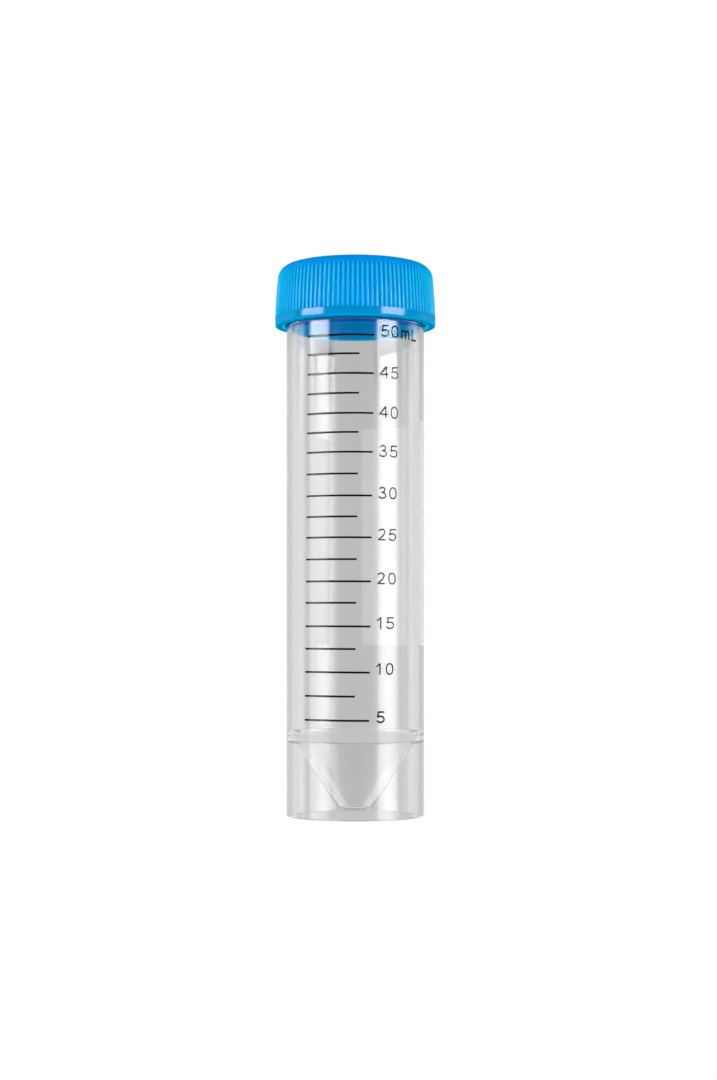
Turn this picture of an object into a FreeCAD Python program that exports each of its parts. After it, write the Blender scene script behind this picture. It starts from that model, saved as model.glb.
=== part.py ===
import FreeCAD, Part
import math
import os

# Self-standing 50 ml conical tube with a ribbed screw cap, in millimetres.
# Frame: origin at the bottom centre of the skirt, +Z up along the tube's axis,
# -Y towards the graduated side, +X to the right of it.

# --- tube: barrel ---
TUBE_R = 14.4            # outer radius of barrel and skirt
BORE_R = 13.5            # inner radius of the barrel
NECK_R = 14.2            # wall between the thread turns, a little under the barrel
NECK_Z = 102.5           # top of the full barrel
NECK_STEP_H = 0.2
RIM_Z = 113.6            # top of the rim, under the cap's top plate
RIM_ROUND = 0.28

# --- tube: conical bottom and skirt ---
SKIRT_IN_R = 13.4        # inner radius of the skirt
SKIRT_ROUND_OUT = 0.12   # outer foot edge
SKIRT_ROUND_IN = 0.25
GUSSET_Z = 17.1          # where the skirt's inside meets the outer cone
BORE_END_Z = 17.9        # where the bore turns into the inner cone
CONE_TIP_IN_R = 2.4      # flat bottom of the inside
CONE_TIP_IN_Z = 2.05
CONE_TIP_OUT_R = 3.5     # flat tip of the outer cone
CONE_TIP_OUT_Z = 1.35

# --- threads: one raised helical ridge on the neck, one inside the cap ---
THREAD_PITCH = 3.2
THREAD_ROOT_W = 1.30     # ridge width at the wall
THREAD_CREST_W = 0.60    # ridge width at the crest
THREAD_EMBED = 0.25      # how far a ridge's section reaches into its wall
NECK_THREAD_CREST_R = 14.85
NECK_THREAD_TURNS = 1.75
NECK_THREAD_Z = 106.3    # middle of the ridge at its lower end
NECK_THREAD_DEG = 200.0
CAP_THREAD_CREST_R = 14.97   # clears the neck's ridge on a straight lift
CAP_THREAD_TURNS = 1.75
CAP_THREAD_Z = 104.7
CAP_THREAD_DEG = 200.0

# --- cap: shell ---
CAP_BOTTOM_Z = 102.8
CAP_TOP_Z = 115.55
CAP_UNDER_Z = 113.75     # underside of the top plate
FLANGE_R = 16.83
FLANGE_TOP_Z = 104.55
CAP_MID = (16.62, 109.0)       # radius and height on the tapered side
CAP_SHOULDER = (16.27, 113.1)  # where the side turns into the shoulder
CAP_SHOULDER_MID = (15.74, 114.33)
CAP_TOP_R = 13.33        # edge of the flat top
CAP_BORE_R = 15.3
MOUTH_R = 15.0           # narrower ring at the foot of the bore
MOUTH_TOP_Z = 103.6
MOUTH_CHAMFER = 0.12
FLANGE_ROUND = 0.15

# --- cap: grip ribs, cut as grooves between them ---
RIB_COUNT = 104
GROOVE_DEPTH = 0.25
GROOVE_TOP_W = 0.60
GROOVE_BOTTOM_W = 0.22
GROOVE_LOW = (16.80, 104.55)   # crest line that the grooves follow
GROOVE_HIGH = (16.13, 113.8)    # the grooves end square under the smooth shoulder

# --- cap: plug seal, a ring that hangs into the bore ---
PLUG_R = 13.35
PLUG_IN_R = 12.3
PLUG_LIP_IN_R = 12.75    # inside of the thinned lip
PLUG_LIP_H = 1.1
PLUG_BOTTOM_Z = 101.7
PLUG_ROOT_ROUND = 0.6

V = FreeCAD.Vector
AXIS = V(0, 0, 1)


def closed_profile(corners):
    """Face in the XZ plane from corners (radius, height, fillet).

    A corner may instead be ("arc", middle_radius, middle_height): the edge
    between its two neighbours is then a circular arc through that point.
    """
    pts = [c for c in corners if c[0] != "arc"]
    arcs = {}
    k = -1
    for c in corners:
        if c[0] == "arc":
            arcs[k] = V(c[1], 0, c[2])
        else:
            k += 1
    n = len(pts)
    spans = []
    for i in range(n):
        p = V(pts[i][0], 0, pts[i][1])
        f = pts[i][2]
        if f <= 0:
            spans.append((p, None, p))
            continue
        a = V(pts[i - 1][0], 0, pts[i - 1][1]) - p
        b = V(pts[(i + 1) % n][0], 0, pts[(i + 1) % n][1]) - p
        a.normalize()
        b.normalize()
        half = a.getAngle(b) / 2.0
        run = f / math.tan(half)
        bis = a + b
        bis.normalize()
        centre = p + bis * (f / math.sin(half))
        spans.append((p + a * run, centre - bis * f, p + b * run))
    edges = []
    for i in range(n):
        start, mid, end = spans[i]
        if mid is not None:
            edges.append(Part.Arc(start, mid, end).toShape())
        nxt = spans[(i + 1) % n][0]
        if i in arcs:
            edges.append(Part.Arc(end, arcs[i], nxt).toShape())
        elif end.distanceToPoint(nxt) > 1e-7:
            edges.append(Part.LineSegment(end, nxt).toShape())
    return Part.Face(Part.Wire(edges))


def turned(corners):
    """Solid of revolution about the tube's axis."""
    return closed_profile(corners).revolve(V(0, 0, 0), AXIS, 360)


def make_ridge(wall_r, crest_r, turns, start_z, start_deg):
    """Helical thread ridge from a wall to a crest radius, with plain ends."""
    helix = Part.makeHelix(THREAD_PITCH, THREAD_PITCH * turns, wall_r)
    side = 1.0 if crest_r > wall_r else -1.0
    height = abs(crest_r - wall_r)
    inner = wall_r - side * THREAD_EMBED
    flank = (THREAD_ROOT_W - THREAD_CREST_W) / 2.0 / height
    half_in = THREAD_ROOT_W / 2.0 + flank * THREAD_EMBED
    half_out = THREAD_CREST_W / 2.0
    section = Part.makePolygon([
        V(inner, 0, -half_in),
        V(crest_r, 0, -half_out),
        V(crest_r, 0, half_out),
        V(inner, 0, half_in),
        V(inner, 0, -half_in),
    ])
    ridge = Part.Wire(helix.Edges).makePipeShell([section], True, True)
    if ridge.ShapeType != "Solid":
        ridge = Part.Solid(ridge)
    if ridge.Volume < 0:
        ridge.reverse()
    ridge.translate(V(0, 0, start_z))
    ridge.rotate(V(0, 0, 0), AXIS, start_deg)
    return ridge


def make_tube():
    """Barrel, conical bottom, skirt and neck thread, moulded as one piece."""
    body = turned([
        (TUBE_R, 0.0, SKIRT_ROUND_OUT),
        (TUBE_R, NECK_Z, 0.0),
        (NECK_R, NECK_Z + NECK_STEP_H, 0.0),
        (NECK_R, RIM_Z, RIM_ROUND),
        (BORE_R, RIM_Z, RIM_ROUND),
        (BORE_R, BORE_END_Z, 1.6),
        (CONE_TIP_IN_R, CONE_TIP_IN_Z, 0.9),
        (0.0, CONE_TIP_IN_Z, 0.0),
        (0.0, CONE_TIP_OUT_Z, 0.0),
        (CONE_TIP_OUT_R, CONE_TIP_OUT_Z, 0.7),
        (SKIRT_IN_R, GUSSET_Z, 0.45),
        (SKIRT_IN_R, 0.0, SKIRT_ROUND_IN),
    ])
    ridge = make_ridge(NECK_R, NECK_THREAD_CREST_R, NECK_THREAD_TURNS,
                       NECK_THREAD_Z, NECK_THREAD_DEG)
    return body.fuse(ridge)


def make_groove():
    """One groove between two ribs, along the crest line at azimuth 0."""
    r0, z0 = GROOVE_LOW
    r1, z1 = GROOVE_HIGH
    along = V(r1 - r0, 0, z1 - z0)
    out = 0.4
    flank = (GROOVE_TOP_W - GROOVE_BOTTOM_W) / 2.0 / GROOVE_DEPTH
    wide = GROOVE_TOP_W / 2.0 + flank * out
    deep = GROOVE_BOTTOM_W / 2.0
    section = Part.makePolygon([
        V(r0 - GROOVE_DEPTH, -deep, z0),
        V(r0 + out, -wide, z0),
        V(r0 + out, wide, z0),
        V(r0 - GROOVE_DEPTH, deep, z0),
        V(r0 - GROOVE_DEPTH, -deep, z0),
    ])
    return Part.Face(section).extrude(along)


def make_cap():
    """Shell, ribs, top plate, inner thread and plug seal, moulded as one piece."""
    body = turned([
        (CAP_BORE_R, MOUTH_TOP_Z + CAP_BORE_R - MOUTH_R, 0.0),
        (MOUTH_R, MOUTH_TOP_Z, 0.0),
        (MOUTH_R, CAP_BOTTOM_Z + MOUTH_CHAMFER, 0.0),
        (MOUTH_R + MOUTH_CHAMFER, CAP_BOTTOM_Z, 0.0),
        (FLANGE_R, CAP_BOTTOM_Z, FLANGE_ROUND),
        (FLANGE_R, FLANGE_TOP_Z, 0.0),
        ("arc", CAP_MID[0], CAP_MID[1]),
        (CAP_SHOULDER[0], CAP_SHOULDER[1], 0.0),
        ("arc", CAP_SHOULDER_MID[0], CAP_SHOULDER_MID[1]),
        (CAP_TOP_R, CAP_TOP_Z, 0.0),
        (0.0, CAP_TOP_Z, 0.0),
        (0.0, CAP_UNDER_Z, 0.0),
        (PLUG_IN_R, CAP_UNDER_Z, PLUG_ROOT_ROUND),
        (PLUG_IN_R, PLUG_BOTTOM_Z + PLUG_LIP_H, 0.0),
        (PLUG_LIP_IN_R, PLUG_BOTTOM_Z, 0.12),
        (PLUG_R, PLUG_BOTTOM_Z, 0.2),
        (PLUG_R, CAP_UNDER_Z, 0.0),
        (CAP_BORE_R, CAP_UNDER_Z, 0.0),
    ])
    body = body.fuse(make_ridge(CAP_BORE_R, CAP_THREAD_CREST_R, CAP_THREAD_TURNS,
                                CAP_THREAD_Z, CAP_THREAD_DEG))
    groove = make_groove()
    grooves = []
    for i in range(RIB_COUNT):
        g = groove.copy()
        g.rotate(V(0, 0, 0), AXIS, 360.0 / RIB_COUNT * i)
        grooves.append(g)
    return body.cut(Part.makeCompound(grooves))


def single_solid(shape, name):
    solids = shape.Solids
    if len(solids) != 1:
        raise RuntimeError("%s has %d solids" % (name, len(solids)))
    solid = solids[0]
    if not solid.isValid() or solid.Volume <= 0:
        raise RuntimeError("%s is not a valid solid" % name)
    return solid


os.makedirs("parts", exist_ok=True)

parts = {
    "tube": single_solid(make_tube(), "tube"),
    "cap": single_solid(make_cap(), "cap"),
}
overlap = parts["tube"].common(parts["cap"]).Volume
for name, shape in parts.items():
    shape.exportStep("parts/%s.step" % name)
    box = shape.BoundBox
    print("%s: volume %.1f mm3, faces %d, x %.2f..%.2f, z %.2f..%.2f" % (
        name, shape.Volume, len(shape.Faces), box.XMin, box.XMax, box.ZMin, box.ZMax))
print("overlap of tube and cap: %.4f mm3" % overlap)
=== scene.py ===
import math

import bpy
import numpy as np
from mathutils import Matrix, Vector
from mathutils.geometry import tessellate_polygon


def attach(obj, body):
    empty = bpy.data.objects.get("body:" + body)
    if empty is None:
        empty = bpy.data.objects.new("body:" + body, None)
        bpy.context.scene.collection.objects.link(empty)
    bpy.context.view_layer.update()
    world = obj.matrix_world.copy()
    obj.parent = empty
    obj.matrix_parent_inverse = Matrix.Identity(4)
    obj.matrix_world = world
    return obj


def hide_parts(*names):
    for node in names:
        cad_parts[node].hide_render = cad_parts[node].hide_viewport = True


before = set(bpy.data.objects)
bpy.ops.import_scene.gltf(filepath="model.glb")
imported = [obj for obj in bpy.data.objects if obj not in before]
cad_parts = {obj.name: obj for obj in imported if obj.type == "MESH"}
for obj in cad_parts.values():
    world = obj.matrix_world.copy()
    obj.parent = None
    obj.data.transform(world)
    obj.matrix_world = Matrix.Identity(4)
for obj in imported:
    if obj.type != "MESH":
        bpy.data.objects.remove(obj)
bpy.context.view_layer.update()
MM = 0.001

# Sizes in millimetres, the same as the CAD's. Azimuth 0 faces -Y, and grows towards +X.
TUBE_R, BORE_R, NECK_R = 14.4, 13.5, 14.2
NECK_Z, RIM_Z = 102.5, 113.6
SKIRT_IN_R, GUSSET_Z, BORE_END_Z = 13.4, 17.1, 17.9
TIP_IN, TIP_OUT = (2.4, 2.05), (3.5, 1.35)
PITCH = 3.2

CAP_BOTTOM_Z, CAP_TOP_Z, CAP_UNDER_Z = 102.8, 115.55, 113.75
FLANGE_R, FLANGE_TOP_Z = 16.829, 104.55
CAP_MID, CAP_SHOULDER, CAP_SHOULDER_MID, CAP_TOP_R = (16.62, 109.0), (16.27, 113.1), (15.74, 114.33), 13.33
CAP_BORE_R, MOUTH_R, MOUTH_TOP_Z = 15.3, 15.0, 103.6
PLUG_R, PLUG_IN_R, PLUG_LIP_IN_R = 13.35, 12.3, 12.75
PLUG_BOTTOM_Z, PLUG_LIP_H = 101.7, 1.1
RIBS = 104
GROOVE_LOW, GROOVE_HIGH = (16.55, 104.55), (15.88, 113.8)      # floor of the grooves


# ---------------------------------------------------------------- mesh helpers
def arc3(a, b, c, n):
    """Points along the circle through a, b and c, from a to c."""
    ax, ay, bx, by, cx, cy = *a, *b, *c
    d = 2 * (ax * (by - cy) + bx * (cy - ay) + cx * (ay - by))
    ux = ((ax**2 + ay**2) * (by - cy) + (bx**2 + by**2) * (cy - ay) + (cx**2 + cy**2) * (ay - by)) / d
    uy = ((ax**2 + ay**2) * (cx - bx) + (bx**2 + by**2) * (ax - cx) + (cx**2 + cy**2) * (bx - ax)) / d
    r = math.hypot(ax - ux, ay - uy)
    t0 = math.atan2(ay - uy, ax - ux)
    t1 = math.atan2(by - uy, bx - ux)
    t2 = math.atan2(cy - uy, cx - ux)
    sweep = (t2 - t0 + math.pi) % (2 * math.pi) - math.pi
    mid = (t1 - t0 + math.pi) % (2 * math.pi) - math.pi
    if sweep * mid < 0:
        sweep -= math.copysign(2 * math.pi, sweep)
    return [(ux + r * math.cos(t0 + sweep * i / n), uy + r * math.sin(t0 + sweep * i / n)) for i in range(n + 1)]


def section(corners, guard=0.06):
    """Section points (radius, height) from corners (radius, height, fillet radius, steps).

    Beside each fillet or sharp corner a guard point holds the shading of the flat next to it.
    """
    out = []
    n = len(corners)
    for i, c in enumerate(corners):
        p = np.array(c[:2], float)
        fillet = c[2] if len(c) > 2 else 0.0
        steps = c[3] if len(c) > 3 else 5
        prev = np.array(corners[i - 1][:2], float) if i > 0 else None
        nxt = np.array(corners[i + 1][:2], float) if i < n - 1 else None
        if prev is None or nxt is None:
            out.append(tuple(p))
            continue
        a, b = prev - p, nxt - p
        la, lb = np.linalg.norm(a), np.linalg.norm(b)
        a, b = a / la, b / lb
        half = math.acos(max(-1, min(1, float(a @ b)))) / 2
        if fillet > 0:
            run = fillet / math.tan(half)
            s, e = p + a * run, p + b * run
            bis = (a + b) / np.linalg.norm(a + b)
            m = p + bis * (fillet / math.sin(half) - fillet)
            out.append(tuple(s + a * min(guard, (la - run) * 0.3)))
            out += arc3(tuple(s), tuple(m), tuple(e), steps)
            out.append(tuple(e + b * min(guard, (lb - run) * 0.3)))
        else:
            g = 0.02
            out += [tuple(p + a * g), tuple(p), tuple(p + b * g)]
    return out


class Builder:
    """Rings of points about the axis, joined into one closed mesh."""

    def __init__(self):
        self.co, self.faces = [], []

    def pole(self, z):
        self.co.append((0.0, 0.0, z))
        return len(self.co) - 1

    def ring(self, r, z, az):
        base = len(self.co)
        r = np.broadcast_to(np.asarray(r, float), az.shape)
        z = np.broadcast_to(np.asarray(z, float), az.shape)
        self.co += list(zip((r * np.sin(az)).tolist(), (-r * np.cos(az)).tolist(), z.tolist()))
        return np.arange(base, base + len(az))

    def join(self, a, b):
        """Faces from ring or pole a to ring or pole b, wound so that a path upwards on the outside faces out."""
        if np.isscalar(a) or np.isscalar(b):
            ring, pole, up = (b, a, True) if np.isscalar(a) else (a, b, False)
            n = len(ring)
            for i in range(n):
                j = (i + 1) % n
                self.faces.append((int(pole), int(ring[j]), int(ring[i])) if up else (int(ring[i]), int(ring[j]), int(pole)))
            return
        if len(a) == len(b):
            n = len(a)
            for i in range(n):
                j = (i + 1) % n
                self.faces.append((int(a[i]), int(a[j]), int(b[j]), int(b[i])))
            return
        fine, coarse, up = (a, b, True) if len(a) > len(b) else (b, a, False)
        k = len(fine) // len(coarse)
        n = len(fine)
        for i in range(len(coarse)):
            j = (i + 1) % len(coarse)
            first = (i * k) % n
            for s in range(k):
                f0, f1 = fine[(first + s) % n], fine[(first + s + 1) % n]
                c = coarse[i] if s < k // 2 else coarse[j]
                self.faces.append((int(f0), int(f1), int(c)) if up else (int(f1), int(f0), int(c)))
            m = fine[(first + k // 2) % n]
            self.faces.append((int(m), int(coarse[j]), int(coarse[i])) if up else (int(coarse[i]), int(coarse[j]), int(m)))

    def make(self, name, sharp_deg=38.0):
        mesh = bpy.data.meshes.new(name)
        co = np.array(self.co, float) * MM
        mesh.from_pydata(co.tolist(), [], self.faces)
        mesh.validate()
        mesh.shade_smooth()
        mesh.set_sharp_from_angle(angle=math.radians(sharp_deg))
        obj = bpy.data.objects.new(name, mesh)
        bpy.context.scene.collection.objects.link(obj)
        return obj


def smooth(x, lo, hi):
    t = np.clip((x - lo) / (hi - lo), 0, 1)
    return t * t * (3 - 2 * t)


def thread_height(az, z, start_z, turns, start_az, height, root_w, crest_w):
    """Height of a helical ridge of trapezoid section above its wall, at azimuth az and height z.

    Its ends run out over a sixth of a turn.
    """
    total = np.zeros_like(az, float)
    span = 2 * math.pi * turns
    for k in range(-1, int(turns) + 2):
        t = (az - start_az) % (2 * math.pi) + 2 * math.pi * k
        mid = start_z + PITCH * t / (2 * math.pi)
        d = np.abs(z - mid)
        flank = (root_w - crest_w) / 2
        h = height * np.clip((root_w / 2 - d) / flank, 0, 1)
        h = np.where(h > 0, height * (1 - (1 - h / height) ** 1.6), 0)
        ends = smooth(t, 0, math.pi / 3) * (1 - smooth(t, span - math.pi / 3, span))
        total = np.maximum(total, np.where((t >= 0) & (t <= span), h * ends, 0))
    return total


# ---------------------------------------------------------------- tube
def build_tube():
    n = 288
    az = np.arange(n) * 2 * math.pi / n
    b = Builder()
    under = section([
        (0.0, TIP_OUT[1]),
        (TIP_OUT[0], TIP_OUT[1], 0.7, 6),
        (SKIRT_IN_R, GUSSET_Z, 0.45, 6),
        (SKIRT_IN_R, 0.0, 0.25, 5),
        (TUBE_R, 0.0, 0.12, 4),
        (TUBE_R, NECK_Z),
        (NECK_R, NECK_Z + 0.2),
        (NECK_R, 105.0),
    ])[1:-1]
    thread_z = np.arange(105.0, 112.95, 0.1)
    top = section([
        (NECK_R, 112.9),
        (NECK_R, RIM_Z, 0.28, 5),
        (BORE_R, RIM_Z, 0.28, 5),
        (BORE_R, BORE_END_Z, 1.6, 8),
        (TIP_IN[0], TIP_IN[1], 0.9, 7),
        (0.0, TIP_IN[1]),
    ])[1:-1]
    prev = b.pole(TIP_OUT[1])
    for r, z in under:
        ring = b.ring(r, z, az)
        b.join(prev, ring)
        prev = ring
    for z in thread_z:
        h = thread_height(az, np.full_like(az, z), 106.3, 1.75, math.radians(290), 0.65, 1.30, 0.55)
        ring = b.ring(NECK_R + h, z, az)
        b.join(prev, ring)
        prev = ring
    for r, z in top:
        ring = b.ring(r, z, az)
        b.join(prev, ring)
        prev = ring
    b.join(prev, b.pole(TIP_IN[1]))
    return b.make("tube_shell")


# ---------------------------------------------------------------- cap
def cap_crest():
    """Outer section of the cap without its grooves, from the foot of the flange to the flat top."""
    rnd = 0.15
    low = arc3((FLANGE_R - rnd, CAP_BOTTOM_Z), (FLANGE_R - rnd + rnd * math.sin(math.pi / 4), CAP_BOTTOM_Z + rnd - rnd * math.cos(math.pi / 4)), (FLANGE_R, CAP_BOTTOM_Z + rnd), 4)
    flange = [(FLANGE_R, CAP_BOTTOM_Z + 0.2), (FLANGE_R, 104.2), (FLANGE_R, 104.5)]
    side = arc3((FLANGE_R, FLANGE_TOP_Z), CAP_MID, CAP_SHOULDER, 160)
    shoulder = arc3(CAP_SHOULDER, CAP_SHOULDER_MID, (CAP_TOP_R, CAP_TOP_Z), 120)
    path = np.array(side + shoulder[1:])
    heights = [104.55, 104.60, 104.68] + list(np.linspace(104.9, 113.1, 17)) + [113.35, 113.58, 113.70, 113.77, 113.81, 113.95]
    ribbed = [(float(np.interp(z, path[:, 1], path[:, 0])), z) for z in heights]
    top = [p for p in arc3(CAP_SHOULDER, CAP_SHOULDER_MID, (CAP_TOP_R, CAP_TOP_Z), 14) if p[1] > 114.05]
    return low + flange, ribbed, top


def build_cap():
    b = Builder()
    stops = np.array([-0.43, -0.36, -0.30, -0.26, -0.20, -0.13, 0.0, 0.13, 0.20, 0.26, 0.30, 0.36, 0.43, 0.502])
    per = len(stops)
    t = np.tile(stops, RIBS)
    az = np.repeat(np.arange(RIBS), per) * 2 * math.pi / RIBS + t / 16.6
    count = len(az) // 7
    coarse = np.arange(count) * 2 * math.pi / count + az[0]
    across = np.abs(t)
    deep = 1 - smooth(across, 0.11, 0.28)                        # 1 on a groove's floor, 0 on a rib
    crown = 0.045 * np.clip((0.502 - across) / 0.24, 0, 1) ** 2  # fall of a rib's crest towards its edges
    plain, ribbed, top = cap_crest()

    first = prev = None
    for r, z in plain:
        ring = b.ring(r, z, az)
        if prev is None:
            first = ring
        else:
            b.join(prev, ring)
        prev = ring
    for r, z in ribbed:
        floor_r = np.interp(z, (GROOVE_LOW[1], GROOVE_HIGH[1]), (GROOVE_LOW[0], GROOVE_HIGH[0]))
        depth = min(0.33, max(0.0, r - floor_r))
        ends = min(smooth(z, 104.55, 104.66), 1 - smooth(z, 113.69, 113.80))
        ring = b.ring(r - ends * (depth * deep + crown * (1 - deep)), z, az)
        b.join(prev, ring)
        prev = ring
    for r, z in top:
        ring = b.ring(r, z, az)
        b.join(prev, ring)
        prev = ring
    for r, z in ((12.9, CAP_TOP_Z), (1.3, CAP_TOP_Z), (1.15, CAP_TOP_Z - 0.02), (1.0, CAP_TOP_Z - 0.1), (0.85, CAP_TOP_Z - 0.12), (0.35, CAP_TOP_Z - 0.12)):
        ring = b.ring(r, z, coarse)
        b.join(prev, ring)
        prev = ring
    b.join(prev, b.pole(CAP_TOP_Z - 0.12))

    prev = first
    for r, z in ((FLANGE_R - 0.2, CAP_BOTTOM_Z), (FLANGE_R - 0.5, CAP_BOTTOM_Z), (MOUTH_R + 0.2, CAP_BOTTOM_Z)):
        fine = r > FLANGE_R - 0.4
        ring = b.ring(r, z, az if fine else coarse)
        b.join(ring, prev)
        prev = ring
    inner = section([
        (MOUTH_R + 0.2, CAP_BOTTOM_Z),
        (MOUTH_R + 0.12, CAP_BOTTOM_Z, 0.04, 2),
        (MOUTH_R, CAP_BOTTOM_Z + 0.12, 0.04, 2),
        (MOUTH_R, MOUTH_TOP_Z, 0.08, 3),
        (CAP_BORE_R, MOUTH_TOP_Z + 0.3, 0.08, 3),
        (CAP_BORE_R, 104.05),
    ])[1:-1]
    for r, z in inner:
        ring = b.ring(r, z, coarse)
        b.join(ring, prev)
        prev = ring
    for z in np.arange(104.08, 112.6, 0.12):
        h = thread_height(coarse, np.full_like(coarse, z), 104.7, 1.75, math.radians(290), 0.33, 1.30, 0.55)
        ring = b.ring(CAP_BORE_R - h, z, coarse)
        b.join(ring, prev)
        prev = ring
    rest = section([
        (CAP_BORE_R, 112.7),
        (CAP_BORE_R, CAP_UNDER_Z, 0.3, 4),
        (PLUG_R, CAP_UNDER_Z, 0.2, 3),
        (PLUG_R, PLUG_BOTTOM_Z, 0.2, 4),
        (PLUG_LIP_IN_R, PLUG_BOTTOM_Z, 0.12, 3),
        (PLUG_IN_R, PLUG_BOTTOM_Z + PLUG_LIP_H, 0.3, 3),
        (PLUG_IN_R, CAP_UNDER_Z, 0.6, 5),
        (0.0, CAP_UNDER_Z),
    ])[1:-1]
    for r, z in rest:
        ring = b.ring(r, z, coarse)
        b.join(ring, prev)
        prev = ring
    b.join(b.pole(CAP_UNDER_Z), prev)
    return b.make("cap_shell", 50.0)


# ---------------------------------------------------------------- print
INK_IN, INK_OUT = TUBE_R + 0.008, TUBE_R + 0.030


def wrap(polys, name, inner=INK_IN, outer=INK_OUT, step=0.35):
    """Thin closed solids on the barrel from flat outlines.

    Each outline is a list of (arc length to the right, height) in mm, as one convex or simple polygon,
    or as (outer, hole). Long edges are split so that they follow the barrel.
    """
    co, faces = [], []
    for poly in polys:
        loops = list(poly) if isinstance(poly, tuple) else [poly]
        fine = []
        for loop in loops:
            pts = []
            m = len(loop)
            for i in range(m):
                p, q = np.array(loop[i], float), np.array(loop[(i + 1) % m], float)
                k = max(1, int(math.ceil(abs(q[0] - p[0]) / step)))
                pts += [tuple(p + (q - p) * s / k) for s in range(k)]
            fine.append(pts)
        flat = [[Vector((x, y, 0)) for x, y in pts] for pts in fine]
        tris = tessellate_polygon(flat)
        pts = [p for loop in fine for p in loop]
        area = 0.0
        loop = fine[0]
        for i in range(len(loop)):
            x0, y0 = loop[i]
            x1, y1 = loop[(i + 1) % len(loop)]
            area += x0 * y1 - x1 * y0
        base = len(co)
        m = len(pts)
        for radius in (outer, inner):
            for s, z in pts:
                a = s / TUBE_R
                co.append((radius * math.sin(a), -radius * math.cos(a), z))
        for i, j, k in tris:
            (x0, y0), (x1, y1), (x2, y2) = pts[i], pts[j], pts[k]
            if (x1 - x0) * (y2 - y0) - (x2 - x0) * (y1 - y0) < 0:
                i, k = k, i
            faces.append((base + i, base + j, base + k))
            faces.append((base + m + k, base + m + j, base + m + i))
        start = 0
        for li, loop in enumerate(fine):
            c = len(loop)
            ccw = (area > 0) if li == 0 else None
            if li > 0:
                hole = sum(loop[i][0] * loop[(i + 1) % c][1] - loop[(i + 1) % c][0] * loop[i][1] for i in range(c))
                ccw = hole > 0
            outward = ccw if li == 0 else not ccw
            for i in range(c):
                a, d = base + start + i, base + start + (i + 1) % c
                quad = (a, a + m, d + m, d)
                faces.append(quad if ccw else quad[::-1])
            start += c
    mesh = bpy.data.meshes.new(name)
    mesh.from_pydata((np.array(co) * MM).tolist(), [], faces)
    mesh.validate()
    mesh.shade_flat()
    obj = bpy.data.objects.new(name, mesh)
    bpy.context.scene.collection.objects.link(obj)
    return obj


def stroke(path, width, closed=False):
    """Outline of a pen stroke along a path of (x, y), with square ends. A closed path gives (outer, hole)."""
    p = np.array(path, float)
    n = len(p)
    left, right = [], []
    for i in range(n):
        if closed:
            a, b = p[i - 1], p[(i + 1) % n]
            d0, d1 = p[i] - a, b - p[i]
        else:
            d0 = p[i] - p[i - 1] if i > 0 else p[1] - p[0]
            d1 = p[i + 1] - p[i] if i < n - 1 else p[-1] - p[-2]
        d0, d1 = d0 / np.linalg.norm(d0), d1 / np.linalg.norm(d1)
        n0, n1 = np.array([-d0[1], d0[0]]), np.array([-d1[1], d1[0]])
        nn = n0 + n1
        nn = nn / np.linalg.norm(nn)
        scale = min(2.2, 1 / max(0.3, float(nn @ n0)))
        left.append(tuple(p[i] + nn * width / 2 * scale))
        right.append(tuple(p[i] - nn * width / 2 * scale))
    if closed:
        return (left, right) if poly_area(left) > poly_area(right) else (right, left)
    return right + left[::-1]


def poly_area(loop):
    n = len(loop)
    return abs(sum(loop[i][0] * loop[(i + 1) % n][1] - loop[(i + 1) % n][0] * loop[i][1] for i in range(n))) / 2


def ellipse(cx, cy, rx, ry, a0, a1, n):
    return [(cx + rx * math.cos(math.radians(a0 + (a1 - a0) * i / n)), cy + ry * math.sin(math.radians(a0 + (a1 - a0) * i / n))) for i in range(n + 1)]


def superellipse(cx, cy, rx, ry, n, power=2.4):
    out = []
    for i in range(n):
        a = 2 * math.pi * i / n
        c, s = math.cos(a), math.sin(a)
        out.append((cx + rx * math.copysign(abs(c) ** (2 / power), c), cy + ry * math.copysign(abs(s) ** (2 / power), s)))
    return out


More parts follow.
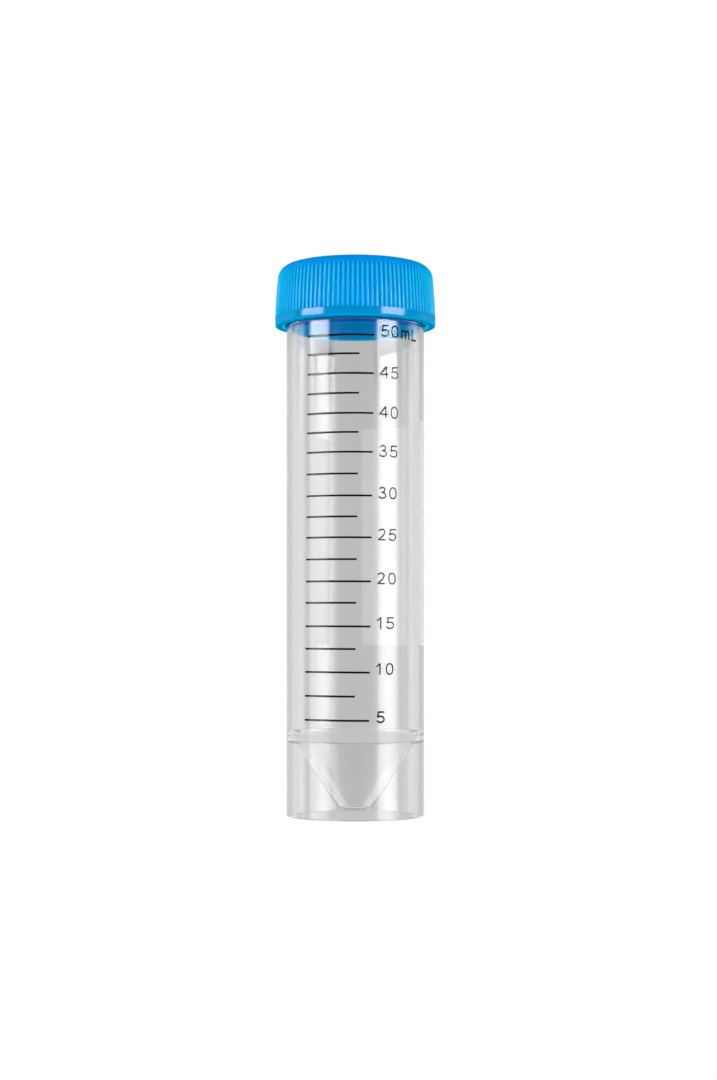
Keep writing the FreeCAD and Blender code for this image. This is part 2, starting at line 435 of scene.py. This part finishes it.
def digit(ch, w, h, pen):
    """Outlines of one plain numeral in a box of width w and height h, lower left at the origin."""
    k = pen / 2
    if ch == "0":
        return [stroke(superellipse(w / 2, h / 2, w / 2 - k, h / 2 - k, 44, 2.25), pen, closed=True)]
    if ch == "1":
        return [[(w - pen, 0), (w, 0), (w, h), (w - pen * 0.75, h), (w - pen * 1.7, h * 0.875), (0, h * 0.765), (0, h * 0.765 - pen * 1.15), (w - pen, h * 0.815)]]
    if ch == "2":
        path = ellipse(w * 0.49, h * 0.725, w * 0.455 - k, h * 0.275 - k, 172, -32, 22)
        path += [(w * 0.70, h * 0.44), (w * 0.42, h * 0.26), (w * 0.22, h * 0.145), (w * 0.10, k * 1.1)]
        return [stroke(path, pen), [(0, 0), (w * 0.97, 0), (w * 0.97, pen), (w * 0.06, pen)]]
    if ch == "3":
        upper = ellipse(w * 0.465, h * 0.755, w * 0.42 - k, h * 0.245 - k, 163, -68, 20) + [(w * 0.40, h * 0.535)]
        lower = [(w * 0.40, h * 0.535)] + ellipse(w * 0.475, h * 0.282, w * 0.525 - k, h * 0.282 - k, 72, -166, 24)
        return [stroke(upper, pen), stroke(lower, pen)]
    if ch == "4":
        x = w * 0.74
        y = h * 0.315
        outer = [(x - k, 0), (x + k, 0), (x + k, y - k), (w, y - k), (w, y + k), (x + k, y + k), (x + k, h), (x - k * 1.1, h), (0, y + k * 1.3), (0, y - k), (x - k, y - k)]
        hole = [(pen * 1.25, y + k), (x - k, y + k), (x - k, h - pen * 1.9)]
        return [(outer, hole)]
    if ch == "5":
        bowl = ellipse(w * 0.475, h * 0.325, w * 0.525 - k, h * 0.325 - k, 145, -163, 30)
        return [stroke([(w * 0.93, h - k), (w * 0.235, h - k), (w * 0.125, h * 0.49)], pen), stroke([(w * 0.115, h * 0.475)] + bowl[1:], pen)]
    if ch == "L":
        return [[(0, 0), (w, 0), (w, pen), (pen, pen), (pen, h), (0, h)]]
    if ch == "m":
        r = (w - pen) / 4
        outs = [[(0, 0), (pen, 0), (pen, h), (0, h)]]
        for c in (0, 1):
            cx = k + r + c * 2 * r
            path = ellipse(cx, h - r * 1.05 - k, r, r * 1.05, 150, 0, 12) + [(cx + r, 0)]
            outs.append(stroke(path, pen))
        return outs
    raise ValueError(ch)


MARKS = {
    50: 99.14, 47.5: 95.30, 45: 91.31, 42.5: 87.25, 40: 83.18, 37.5: 79.28, 35: 75.26, 32.5: 70.83, 30: 66.37,
    27.5: 62.09, 25: 57.85, 22.5: 53.39, 20: 48.88, 17.5: 44.50, 15: 39.70, 12.5: 35.09, 10: 30.32, 7.5: 25.41, 5: 20.48,
}
SLANT = 0.0137           # mm to the right for each mm of height
DROOP = -0.006           # fall of a mark to the right, mm per mm
LINE_W = 0.37


def build_marks():
    polys = []
    for ml, z in MARKS.items():
        shift = (z - 99.14) * SLANT
        left = -10.60 + shift * 0.90
        right = (3.92 if ml % 5 == 0 else 0.92) + shift
        y0, y1 = z + left * DROOP, z + right * DROOP
        half = (LINE_W + 0.045 * max(0.0, 70.0 - z) / 50.0) / 2      # the lower marks are printed a little heavier
        polys.append([(left, y0 - half), (right, y1 - half), (right, y1 + half), (left, y0 + half)])
    return wrap(polys, "volume_marks")


# Left edge of each numeral along the barrel, and its foot's height against its mark.
NUMERALS = {
    50: (-0.28, ((5.40, "5"), (7.72, "0"))),
    45: (-0.92, ((5.22, "4"), (7.66, "5"))),
    40: (-0.92, ((5.09, "4"), (7.57, "0"))),
    35: (-0.95, ((5.03, "3"), (7.40, "5"))),
    30: (-0.59, ((4.88, "3"), (7.22, "0"))),
    25: (-0.60, ((4.70, "2"), (7.12, "5"))),
    20: (-0.55, ((4.55, "2"), (7.00, "0"))),
    15: (-0.49, ((4.53, "1"), (6.56, "5"))),
    10: (-0.49, ((4.36, "1"), (6.43, "0"))),
    5: (-0.50, ((4.40, "5"),)),
}
# Width of the strokes; the lowest numerals and the top one are printed bolder.
PEN = {50: 0.275, 45: 0.24, 40: 0.235, 35: 0.25, 30: 0.262, 25: 0.26, 20: 0.26, 15: 0.274, 10: 0.298, 5: 0.335}
DIGIT_W = {"0": 1.78, "1": 0.92, "2": 1.74, "3": 1.68, "4": 1.82, "5": 1.80}


def build_numerals():
    polys = []
    for ml, (foot, places) in NUMERALS.items():
        for x, ch in places:
            y = MARKS[ml] + foot - 0.012 * (x - 5)
            over = 0.03 if ch in "035" else 0.0
            for outline in digit(ch, DIGIT_W[ch], 2.40 + 2 * over, PEN[ml]):
                polys.append(move(outline, x, y - over))
        if ml == 50:
            for outline in digit("m", 2.50, 1.92, 0.38):
                polys.append(move(outline, 10.26, MARKS[ml] - 0.44))
            for outline in digit("L", 1.66, 2.44, 0.36):
                polys.append(move(outline, 13.47, MARKS[ml] - 0.52))
    return wrap(polys, "volume_numerals", step=0.6)


def move(outline, dx, dy):
    if isinstance(outline, tuple):
        return tuple([(x + dx, y + dy) for x, y in loop] for loop in outline)
    return [(x + dx, y + dy) for x, y in outline]


PANEL_AZ = (69.0, 174.2)
PANEL_Z = (35.9, 82.7)


def build_panel():
    """Pale writing panel on the back wall, with small round corners."""
    s0, s1 = (math.radians(a) * TUBE_R for a in PANEL_AZ)
    z0, z1 = PANEL_Z
    r = 0.8
    loop = []
    for cx, cy, a0 in ((s1 - r, z0 + r, -90), (s1 - r, z1 - r, 0), (s0 + r, z1 - r, 90), (s0 + r, z0 + r, 180)):
        loop += ellipse(cx, cy, r, r, a0, a0 + 90, 6)
    # Columns of faces from side to side, so that the panel follows the barrel.
    cols = np.unique(np.concatenate([np.linspace(s0, s1, 73), [p[0] for p in loop]]).round(6))
    top, bottom = [], []
    for s in cols:
        d = max(0.0, (s0 + r) - s, s - (s1 - r))
        dip = r - math.sqrt(max(0.0, r * r - d * d))
        top.append(z1 - dip)
        bottom.append(z0 + dip)
    co, faces = [], []
    n = len(cols)
    for radius in (TUBE_R + 0.026, TUBE_R + 0.006):
        for zs in (bottom, top):
            for s, z in zip(cols, zs):
                a = s / TUBE_R
                co.append((radius * math.sin(a), -radius * math.cos(a), z))
    ob, ot, ib, it = 0, n, 2 * n, 3 * n
    for i in range(n - 1):
        faces.append((ob + i, ob + i + 1, ot + i + 1, ot + i))
        faces.append((ib + i + 1, ib + i, it + i, it + i + 1))
        faces.append((ib + i, ib + i + 1, ob + i + 1, ob + i))
        faces.append((ot + i, ot + i + 1, it + i + 1, it + i))
    faces.append((ib, ob, ot, it))
    faces.append((ob + n - 1, ib + n - 1, it + n - 1, ot + n - 1))
    mesh = bpy.data.meshes.new("writing_panel")
    mesh.from_pydata((np.array(co) * MM).tolist(), [], faces)
    mesh.validate()
    mesh.shade_smooth()
    mesh.set_sharp_from_angle(angle=math.radians(30))
    obj = bpy.data.objects.new("writing_panel", mesh)
    bpy.context.scene.collection.objects.link(obj)
    return obj


# ---------------------------------------------------------------- materials
def new_material(name):
    mat = bpy.data.materials.new(name)
    mat.use_nodes = True
    nt = mat.node_tree
    return mat, nt, nt.nodes["Principled BSDF"], nt.nodes["Material Output"]


def noise(nt, scale, detail=2.0, rough=0.5, stretch=None):
    tex = nt.nodes.new("ShaderNodeTexNoise")
    tex.inputs["Scale"].default_value = scale
    tex.inputs["Detail"].default_value = detail
    tex.inputs["Roughness"].default_value = rough
    where = nt.nodes.new("ShaderNodeTexCoord")
    out = where.outputs["Object"]
    if stretch is not None:
        m = nt.nodes.new("ShaderNodeMapping")
        m.inputs["Scale"].default_value = stretch
        nt.links.new(out, m.inputs["Vector"])
        out = m.outputs["Vector"]
    nt.links.new(out, tex.inputs["Vector"])
    return tex


def ranged(nt, source, lo, hi):
    m = nt.nodes.new("ShaderNodeMapRange")
    m.inputs["To Min"].default_value = lo
    m.inputs["To Max"].default_value = hi
    nt.links.new(source, m.inputs["Value"])
    return m.outputs["Result"]


def clear_plastic(name, ior, dull, duller):
    mat, nt, p, out = new_material(name)
    p.inputs["Base Color"].default_value = (0.97, 0.97, 0.97, 1)
    p.inputs["Transmission Weight"].default_value = 1.0
    p.inputs["IOR"].default_value = ior
    p.inputs["Roughness"].default_value = 0.06
    haze = noise(nt, 420.0, 3.0, 0.55, (1, 1, 0.35))
    nt.links.new(ranged(nt, haze.outputs["Fac"], dull, duller), p.inputs["Roughness"])
    wave = noise(nt, 90.0, 2.0, 0.5, (1, 1, 0.12))
    bump = nt.nodes.new("ShaderNodeBump")
    bump.inputs["Strength"].default_value = 0.06
    bump.inputs["Distance"].default_value = 0.0002
    nt.links.new(wave.outputs["Fac"], bump.inputs["Height"])
    nt.links.new(bump.outputs["Normal"], p.inputs["Normal"])
    return mat


def blue_plastic():
    mat, nt, p, out = new_material("azure_cap_plastic")
    tone = noise(nt, 160.0, 3.0, 0.5)
    ramp = nt.nodes.new("ShaderNodeMix")
    ramp.data_type = "RGBA"
    ramp.inputs["A"].default_value = (0.0, 0.37, 0.79, 1)
    ramp.inputs["B"].default_value = (0.0, 0.40, 0.83, 1)
    nt.links.new(tone.outputs["Fac"], ramp.inputs["Factor"])
    p.inputs["IOR"].default_value = 1.45
    p.inputs["Specular IOR Level"].default_value = 0.0
    grain = noise(nt, 2600.0, 3.0, 0.6)
    nt.links.new(ranged(nt, grain.outputs["Fac"], 0.25, 0.35), p.inputs["Roughness"])
    bump = nt.nodes.new("ShaderNodeBump")
    bump.inputs["Strength"].default_value = 0.12
    bump.inputs["Distance"].default_value = 0.00004
    nt.links.new(grain.outputs["Fac"], bump.inputs["Height"])
    nt.links.new(bump.outputs["Normal"], p.inputs["Normal"])
    p.inputs["Subsurface Weight"].default_value = 1.0
    p.inputs["Subsurface Radius"].default_value = (0.05, 0.7, 1.0)
    p.inputs["Subsurface Scale"].default_value = 0.0022
    # The flange is polished, the grip and the top are satin, the underside and the sealing plug matt.
    # The outside of the plug and the mouth's edge are painted a deeper blue, as painted shade under the cap; the flange
    # is a little deeper than the grip; the shoulder and top are painted darker, as painted shade where little light
    # falls from above;
    # and the inside of the wall and of the plug, where light comes through, and the plug's lip are painted paler, as
    # painted light.
    where = nt.nodes.new("ShaderNodeTexCoord")
    axes = nt.nodes.new("ShaderNodeSeparateXYZ")
    nt.links.new(where.outputs["Object"], axes.inputs[0])

    def calc(op, a, b):
        m = nt.nodes.new("ShaderNodeMath")
        m.operation = op
        for i, v in enumerate((a, b)):
            if isinstance(v, (int, float)):
                m.inputs[i].default_value = v
            else:
                nt.links.new(v, m.inputs[i])
        return m.outputs[0]

    def blend(fac, a, colour):
        m = nt.nodes.new("ShaderNodeMix")
        m.data_type = "RGBA"
        m.inputs["B"].default_value = (*colour, 1)
        nt.links.new(fac, m.inputs["Factor"])
        nt.links.new(a, m.inputs["A"])
        return m.outputs["Result"]

    x, y, z = axes.outputs
    radius = calc("SQRT", calc("ADD", calc("MULTIPLY", x, x), calc("MULTIPLY", y, y)), 0.0)
    low = calc("LESS_THAN", z, (FLANGE_TOP_Z + 0.05) * MM)
    plug = calc("MULTIPLY", calc("LESS_THAN", radius, 14.2 * MM), calc("LESS_THAN", z, CAP_UNDER_Z * MM))
    lip = calc("MULTIPLY", calc("LESS_THAN", radius, 13.1 * MM), calc("LESS_THAN", z, 102.85 * MM))
    bowl = calc("MULTIPLY", plug, calc("LESS_THAN", radius, 13.1 * MM))
    inner = calc("MULTIPLY", calc("GREATER_THAN", radius, 14.2 * MM), calc("LESS_THAN", radius, (CAP_BORE_R + 0.05) * MM))
    inner = calc("MULTIPLY", inner, calc("LESS_THAN", z, 112.5 * MM))
    rim = calc("MULTIPLY", low, calc("GREATER_THAN", radius, (CAP_BORE_R + 0.05) * MM))
    band = calc("MULTIPLY", rim, calc("GREATER_THAN", z, (CAP_BOTTOM_Z + 0.35) * MM))
    mouth = calc("MULTIPLY", calc("LESS_THAN", radius, 16.4 * MM), calc("LESS_THAN", z, (CAP_BOTTOM_Z + 0.15) * MM))
    mouth = calc("MULTIPLY", mouth, calc("GREATER_THAN", radius, (MOUTH_R - 0.05) * MM))
    high = nt.nodes.new("ShaderNodeMapRange")
    high.interpolation_type = "SMOOTHSTEP"
    high.inputs["From Min"].default_value = 112.3 * MM
    high.inputs["From Max"].default_value = 114.8 * MM
    nt.links.new(z, high.inputs["Value"])
    # Depth below the ribs' crests in mm, and 1 on the floor of the grooves, which are matt and painted darker, as
    # painted shade in the creases.
    up = calc("SUBTRACT", calc("MULTIPLY", z, 1000.0), FLANGE_TOP_Z)
    crest = calc("SUBTRACT", FLANGE_R, calc("MULTIPLY", up, calc("ADD", 0.0273, calc("MULTIPLY", up, 0.00446))))
    ribbed = calc("MULTIPLY", calc("GREATER_THAN", z, (FLANGE_TOP_Z + 0.07) * MM), calc("LESS_THAN", z, 113.75 * MM))
    ribbed = calc("MULTIPLY", ribbed, calc("GREATER_THAN", radius, 15.6 * MM))
    deep = nt.nodes.new("ShaderNodeMapRange")
    deep.interpolation_type = "SMOOTHSTEP"
    deep.inputs["From Min"].default_value = 0.06
    deep.inputs["From Max"].default_value = 0.24
    nt.links.new(calc("SUBTRACT", crest, calc("MULTIPLY", radius, 1000.0)), deep.inputs["Value"])
    groove = calc("MULTIPLY", ribbed, deep.outputs["Result"])
    satin = calc("ADD", 0.02, calc("SUBTRACT", calc("MULTIPLY", ribbed, 0.13), calc("MULTIPLY", groove, 0.15)))
    weight = calc("ADD", calc("MULTIPLY", band, 0.27), calc("MULTIPLY", calc("SUBTRACT", 1.0, low), satin))
    nt.links.new(weight, p.inputs["Coat Weight"])
    # Painted shade: the floors of the grooves are darkened.
    colour_with_painted_light_and_shade = blend(calc("MULTIPLY", groove, 0.5), ramp.outputs["Result"], (0.0, 0.22, 0.60))
    colour_with_painted_light_and_shade = blend(calc("MULTIPLY", rim, 0.5), colour_with_painted_light_and_shade, (0.0, 0.16, 0.33))
    # Painted shade: the mouth's edge under the flange is set a deeper blue.
    colour_with_painted_light_and_shade = blend(calc("MULTIPLY", mouth, 0.85), colour_with_painted_light_and_shade, (0.0, 0.13, 0.36))
    # Painted shade: the upper grip, shoulder and top are darkened, where little light falls from above.
    colour_with_painted_light_and_shade = blend(calc("MULTIPLY", high.outputs["Result"], 0.9), colour_with_painted_light_and_shade, (0.0, 0.235, 0.75))
    # Painted shade: the outside of the plug, in shade under the cap, is set a deeper blue.
    colour_with_painted_light_and_shade = blend(plug, colour_with_painted_light_and_shade, (0.0, 0.12, 0.37))
    # Painted light: the inside of the plug is set paler, as if lit by light coming through.
    colour_with_painted_light_and_shade = blend(bowl, colour_with_painted_light_and_shade, (0.0, 0.34, 0.66))
    # Painted light: the lip's inner bevel is set paler than the plug's outside, as a lit bevel.
    colour_with_painted_light_and_shade = blend(lip, colour_with_painted_light_and_shade, (0.0, 0.28, 0.50))
    # Painted light: the inside of the cap's wall is set pale so that the gap over the neck glows.
    colour_with_painted_light_and_shade = blend(inner, colour_with_painted_light_and_shade, (0.0, 0.60, 0.97))
    nt.links.new(colour_with_painted_light_and_shade, p.inputs["Base Color"])
    p.inputs["Coat IOR"].default_value = 2.2
    p.inputs["Coat Roughness"].default_value = 0.06
    return mat


def ink():
    mat, nt, p, out = new_material("black_ink")
    tone = noise(nt, 900.0, 3.0, 0.6)
    ramp = nt.nodes.new("ShaderNodeMix")
    ramp.data_type = "RGBA"
    ramp.inputs["A"].default_value = (0.006, 0.006, 0.007, 1)
    ramp.inputs["B"].default_value = (0.016, 0.016, 0.018, 1)
    nt.links.new(tone.outputs["Fac"], ramp.inputs["Factor"])
    nt.links.new(ramp.outputs["Result"], p.inputs["Base Color"])
    p.inputs["Roughness"].default_value = 0.9
    p.inputs["Specular IOR Level"].default_value = 0.03
    return mat


def panel_ink():
    mat, nt, p, out = new_material("pale_panel_ink")
    p.inputs["Base Color"].default_value = (0.95, 0.95, 0.95, 1)
    p.inputs["Specular IOR Level"].default_value = 0.2
    grain = noise(nt, 1500.0, 3.0, 0.6)
    nt.links.new(ranged(nt, grain.outputs["Fac"], 0.6, 0.8), p.inputs["Roughness"])
    through = nt.nodes.new("ShaderNodeBsdfTranslucent")
    through.inputs["Color"].default_value = (0.95, 0.95, 0.95, 1)
    both = nt.nodes.new("ShaderNodeMixShader")
    both.inputs[0].default_value = 0.35
    nt.links.new(p.outputs[0], both.inputs[1])
    nt.links.new(through.outputs[0], both.inputs[2])
    clear = nt.nodes.new("ShaderNodeBsdfTransparent")
    film = nt.nodes.new("ShaderNodeMixShader")
    film.inputs[0].default_value = 0.36
    nt.links.new(clear.outputs[0], film.inputs[1])
    nt.links.new(both.outputs[0], film.inputs[2])
    nt.links.new(film.outputs[0], out.inputs["Surface"])
    return mat


tube = build_tube()
cap = build_cap()
marks = build_marks()
numerals = build_numerals()
panel = build_panel()

clear = clear_plastic("clear_polypropylene", 1.49, 0.03, 0.07)
# The cone inside the foot shows only faintly, so its faces bend light less than the walls do.
faint = clear_plastic("clear_polypropylene_cone", 1.20, 0.14, 0.22)
blue = blue_plastic()
black = ink()
pale = panel_ink()
for obj, mat in ((tube, clear), (cap, blue), (marks, black), (numerals, black), (panel, pale)):
    obj.data.materials.append(mat)

tube.data.materials.append(faint)
for face in tube.data.polygons:
    centre = face.center
    if math.hypot(centre.x, centre.y) < (SKIRT_IN_R - 0.03) * MM and centre.z < (BORE_END_Z + 2.0) * MM:
        face.material_index = 1

for obj in (tube, marks, numerals, panel):
    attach(obj, "tube_body")
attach(cap, "cap_body")
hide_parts("tube")
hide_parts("cap")

# ---------------------------------------------------------------- camera
cam_data = bpy.data.cameras.new("camera")
cam = bpy.data.objects.new("camera", cam_data)
bpy.context.scene.collection.objects.link(cam)
cam.location = (0.0, -0.4435, 0.03592)
cam.rotation_euler = (math.radians(90), 0, 0)
cam_data.sensor_width = 36.0
cam_data.sensor_fit = "AUTO"
cam_data.lens = 36.0 * 2108.8 / 1080.0
cam_data.shift_y = (645.0 - 540.0) / 1080.0
cam_data.shift_x = (358.5 - 355.3) / 1080.0
cam_data.clip_start = 0.01
cam_data.clip_end = 20.0
bpy.context.scene.camera = cam

# ---------------------------------------------------------------- studio
scene = bpy.context.scene
scene.view_settings.view_transform = "Standard"
scene.view_settings.look = "None"
scene.cycles.max_bounces = 96
scene.cycles.glossy_bounces = 96
scene.cycles.transmission_bounces = 96
scene.cycles.blur_glossy = 0.0

world = bpy.data.worlds.new("studio")
scene.world = world
world.use_nodes = True
world.cycles.sampling_method = "NONE"
nt = world.node_tree
nt.nodes.remove(nt.nodes["Background"])


def node(kind, **settings):
    n = nt.nodes.new(kind)
    for key, value in settings.items():
        setattr(n, key, value)
    return n


def math_node(op, a, b=None, clamp=False):
    n = node("ShaderNodeMath", operation=op, use_clamp=clamp)
    for i, v in enumerate((a, b)):
        if v is None:
            continue
        if isinstance(v, (int, float)):
            n.inputs[i].default_value = v
        else:
            nt.links.new(v, n.inputs[i])
    return n.outputs[0]


def mix_node(fac, a, b):
    """a where fac is 0, b where it is 1."""
    n = node("ShaderNodeMix", data_type="FLOAT", clamp_factor=True)
    for socket, v in zip(("Factor", "A", "B"), (fac, a, b)):
        if isinstance(v, (int, float)):
            n.inputs[socket].default_value = v
        else:
            nt.links.new(v, n.inputs[socket])
    return n.outputs[0]


def step_node(v, lo, hi):
    n = node("ShaderNodeMapRange", interpolation_type="SMOOTHSTEP")
    n.inputs["From Min"].default_value = lo
    n.inputs["From Max"].default_value = hi
    nt.links.new(v, n.inputs["Value"])
    return n.outputs["Result"]


towards = node("ShaderNodeTexCoord")
split = node("ShaderNodeSeparateXYZ")
nt.links.new(towards.outputs["Generated"], split.inputs[0])
dx, dy, dz = split.outputs
azimuth = math_node("DIVIDE", math_node("ARCTAN2", dx, math_node("MULTIPLY", dy, -1.0)), math.pi)      # -1 to 1, 0 at -Y
turn = math_node("ADD", math_node("MULTIPLY", azimuth, 0.5), 0.5)

# Brightness round the horizon of what glossy surfaces reflect: two tall soft lights, a gap behind each, and pale walls.
GLOSS_SCALE = 8.0
GLOSS = [
    (-180, 0.7), (-150, 0.6), (-128, 0.7), (-114, 0.4), (-107, 0.5), (-101, 1.2), (-94, 0.8), (-88, 0.3), (-80, 3.0), (-74, 3.0),
    (-62, 2.7), (-54, 2.3), (-46, 1.1), (-40, 0.0), (-33, 0.4), (-26, 0.1), (0, 0.0), (30, 0.1), (37, 1.2), (41, 3.4), (50, 4.2), (58, 4.2),
    (66, 3.4), (74, 2.1), (83, 0.4), (90, 0.5), (100, 0.4), (114, 0.4), (130, 0.6), (180, 0.6),
]
ramp = node("ShaderNodeValToRGB")
ramp.color_ramp.interpolation = "LINEAR"
ramp.color_ramp.elements.remove(ramp.color_ramp.elements[1])
for i, (deg, level) in enumerate(GLOSS):
    e = ramp.color_ramp.elements[0] if i == 0 else ramp.color_ramp.elements.new(0.5 + deg / 360.0)
    v = level / GLOSS_SCALE
    e.color = (v, v, v, 1)
nt.links.new(turn, ramp.inputs["Fac"])
round_walls = math_node("MULTIPLY", ramp.outputs["Color"], GLOSS_SCALE)
degrees = math_node("MULTIPLY", azimuth, 180.0)


def window(v, a, b, c, d):
    """1 from b to c, 0 outside a to d."""
    return math_node("SUBTRACT", step_node(v, a, b), step_node(v, c, d))


def windows(v, rows):
    """Sum of windows (a, b, c, d, level)."""
    total = 0.0
    for *edges, amount in rows:
        total = math_node("ADD", total, math_node("MULTIPLY", window(v, *edges), amount))
    return total


# The upper part of each light is brighter, with a paler wall outside it and a dark gap between. Above the walls' top
# there is nothing round the horizon but the two lights.
upper = step_node(dz, 0.105, 0.135)
brighter = windows(degrees, [
    (-127.0, -121.0, -99.5, -97.0, 1.3), (-97.0, -94.5, -85.5, -82.5, -0.5), (-82.5, -80.0, -47.5, -44.5, 5.0),
    (36.0, 39.0, 72.0, 75.5, 4.4), (75.5, 78.5, 95.0, 99.0, -0.4), (103.0, 106.0, 126.0, 132.0, 1.2),
])
brighter = math_node("MULTIPLY", brighter, math_node("MULTIPLY", upper, math_node("SUBTRACT", 1.0, step_node(dz, 0.27, 0.30))))
round_walls = math_node("MAXIMUM", math_node("ADD", round_walls, brighter), 0.0)
lights = windows(degrees, [(-86.0, -81.0, -47.0, -43.0, 1.0), (34.0, 38.0, 73.0, 77.0, 1.0)])
round_walls = math_node("MULTIPLY", round_walls, mix_node(step_node(dz, 0.149, 0.155), 1.0, lights))
above = step_node(dz, 0.27, 0.36)
below = step_node(math_node("MULTIPLY", dz, -1.0), 0.13, 0.28)
glossy = mix_node(above, round_walls, 0.55)
glossy = mix_node(below, glossy, 0.85)

diffuse = mix_node(step_node(dy, -0.7, 0.7), 1.6, 0.5)
diffuse = mix_node(step_node(dz, 0.0, 0.75), diffuse, 0.45)
diffuse = mix_node(step_node(math_node("MULTIPLY", dz, -1.0), 0.2, 0.7), diffuse, 1.0)

# What is seen straight through the clear wall: a grey card behind, with a paler strip down each side of it.
off = math_node("SUBTRACT", 1.0, math_node("ABSOLUTE", azimuth))
strip = math_node("SUBTRACT", step_node(off, 5 / 180, 8 / 180), step_node(off, 18 / 180, 28 / 180))
through = math_node("ADD", mix_node(step_node(dz, 0.06, 0.13), 0.615, 0.596), math_node("MULTIPLY", strip, 0.23))
# Narrow dark flags in front of the card's upper part, opposite the brighter lights.
aside = math_node("MULTIPLY", math_node("MULTIPLY", off, 180.0), math_node("SIGN", azimuth))
flags = windows(aside, [
    (-15.8, -10.2, -8.5, -5.2, 0.50), (-6.3, -5.2, -4.9, -4.0, -0.06), (-4.4, -3.4, -2.05, -1.75, 0.73),
    (1.4, 1.6, 3.25, 3.9, 0.58), (3.4, 4.2, 5.2, 6.6, -0.03), (4.9, 7.5, 13.5, 19.0, 0.45),
])
flags = math_node("MULTIPLY", flags, mix_node(step_node(dz, 0.137, 0.142), 1.0, 0.68))
edge = math_node("MULTIPLY", windows(aside, [(-2.15, -1.92, -1.75, -1.5, 0.6)]), mix_node(step_node(dz, 0.133, 0.139), 1.0, 0.0))
flags = math_node("ADD", flags, edge)
through = math_node("SUBTRACT", through, math_node("MULTIPLY", upper, flags))

path = node("ShaderNodeLightPath")
mirrored = math_node("GREATER_THAN", path.outputs["Glossy Depth"], 0.5)
scattered = math_node("GREATER_THAN", path.outputs["Diffuse Depth"], 0.5)
level = mix_node(path.outputs["Is Transmission Ray"], glossy, mix_node(mirrored, through, glossy))
level = mix_node(math_node("MAXIMUM", path.outputs["Is Diffuse Ray"], scattered), level, diffuse)
level = mix_node(path.outputs["Is Camera Ray"], level, 1.0)
bg = node("ShaderNodeBackground")
bg.inputs["Color"].default_value = (1.0, 1.0, 1.0, 1)
nt.links.new(level, bg.inputs["Strength"])
nt.links.new(bg.outputs[0], nt.nodes["World Output"].inputs["Surface"])

sun_data = bpy.data.lights.new("soft_overhead", "SUN")
sun_data.energy = 0.35
sun_data.angle = math.radians(100)
sun = bpy.data.objects.new("soft_overhead", sun_data)
scene.collection.objects.link(sun)
sun.rotation_euler = (math.radians(35), 0, math.radians(-25))
sun.visible_glossy = False
sun.visible_transmission = False
sun.visible_camera = False

floor_mesh = bpy.data.meshes.new("floor")
R = 40.0
floor_mesh.from_pydata([(-R, -R, 0), (R, -R, 0), (R, R, 0), (-R, R, 0)], [], [(0, 1, 2, 3)])
floor = bpy.data.objects.new("floor", floor_mesh)
scene.collection.objects.link(floor)
mat = bpy.data.materials.new("pale_floor")
mat.use_nodes = True
nt = mat.node_tree
nt.nodes.remove(nt.nodes["Principled BSDF"])
paint = node("ShaderNodeBsdfDiffuse")
paint.inputs["Color"].default_value = (0.30, 0.30, 0.30, 1)
glow = node("ShaderNodeEmission")
glow.inputs["Color"].default_value = (1, 1, 1, 1)
where = node("ShaderNodeTexCoord")
far = node("ShaderNodeVectorMath", operation="LENGTH")
nt.links.new(where.outputs["Object"], far.inputs[0])
nt.links.new(mix_node(step_node(far.outputs["Value"], 0.1, 1.2), 0.82, 0.83), glow.inputs["Strength"])
both = node("ShaderNodeAddShader")
nt.links.new(paint.outputs[0], both.inputs[0])
nt.links.new(glow.outputs[0], both.inputs[1])
nt.links.new(both.outputs[0], nt.nodes["Material Output"].inputs["Surface"])
floor_mesh.materials.append(mat)
floor.visible_glossy = False
floor.visible_transmission = False
floor.visible_diffuse = False
floor.visible_shadow = False
